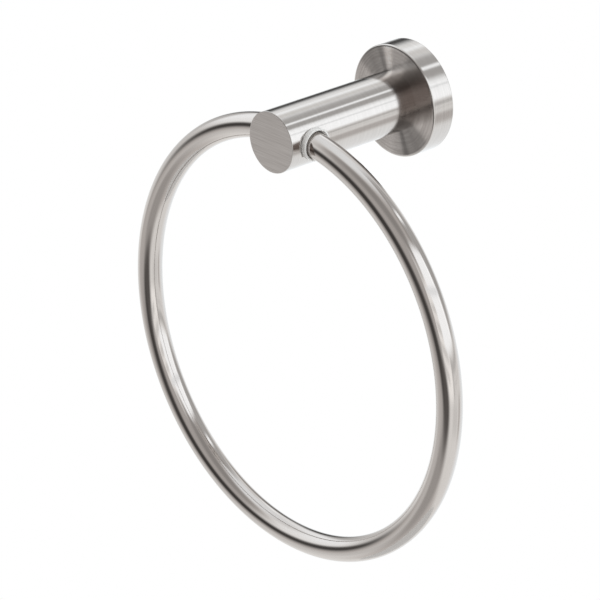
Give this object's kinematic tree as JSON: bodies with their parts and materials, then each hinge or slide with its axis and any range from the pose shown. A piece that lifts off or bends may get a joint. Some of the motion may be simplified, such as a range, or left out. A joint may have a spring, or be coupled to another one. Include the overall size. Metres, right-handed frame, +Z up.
{
  "type": "towel ring",
  "caption": "Wall-mounted towel ring: a round flange and post carry a bent rod ring that swings on plastic bushes, with a concealed wall plate and grub screw.",
  "frame": {"origin": "centre of the flange's back face, on the wall", "axes": "+Z up, +Y into the wall, the post stands out along -Y, +X to the right seen from the front"},
  "size_m": [0.18, 0.0733, 0.1965],
  "materials": {
    "brushed_nickel": "brushed round the axis, nickel tone",
    "satin_nickel": "satin polished rod, nickel tone",
    "nylon": "moulded natural nylon",
    "zinc_steel": "zinc-plated steel",
    "screw_steel": "stainless steel screws"
  },
  "bodies": {
    "wall_mount": {"flange": "brushed_nickel", "post": "brushed_nickel", "left_bush": "nylon", "right_bush": "nylon", "wall_plate": "zinc_steel", "grub_screw": "screw_steel", "post_screw": "screw_steel"},
    "ring": {"ring": "satin_nickel"}
  },
  "joints": [
    {"name": "ring_swing", "type": "hinge", "parent": "wall_mount", "child": "ring", "pos_m": [0, -0.0623, 0], "axis": [-1, 0, 0], "range_deg": [-19, 199]}
  ]
}
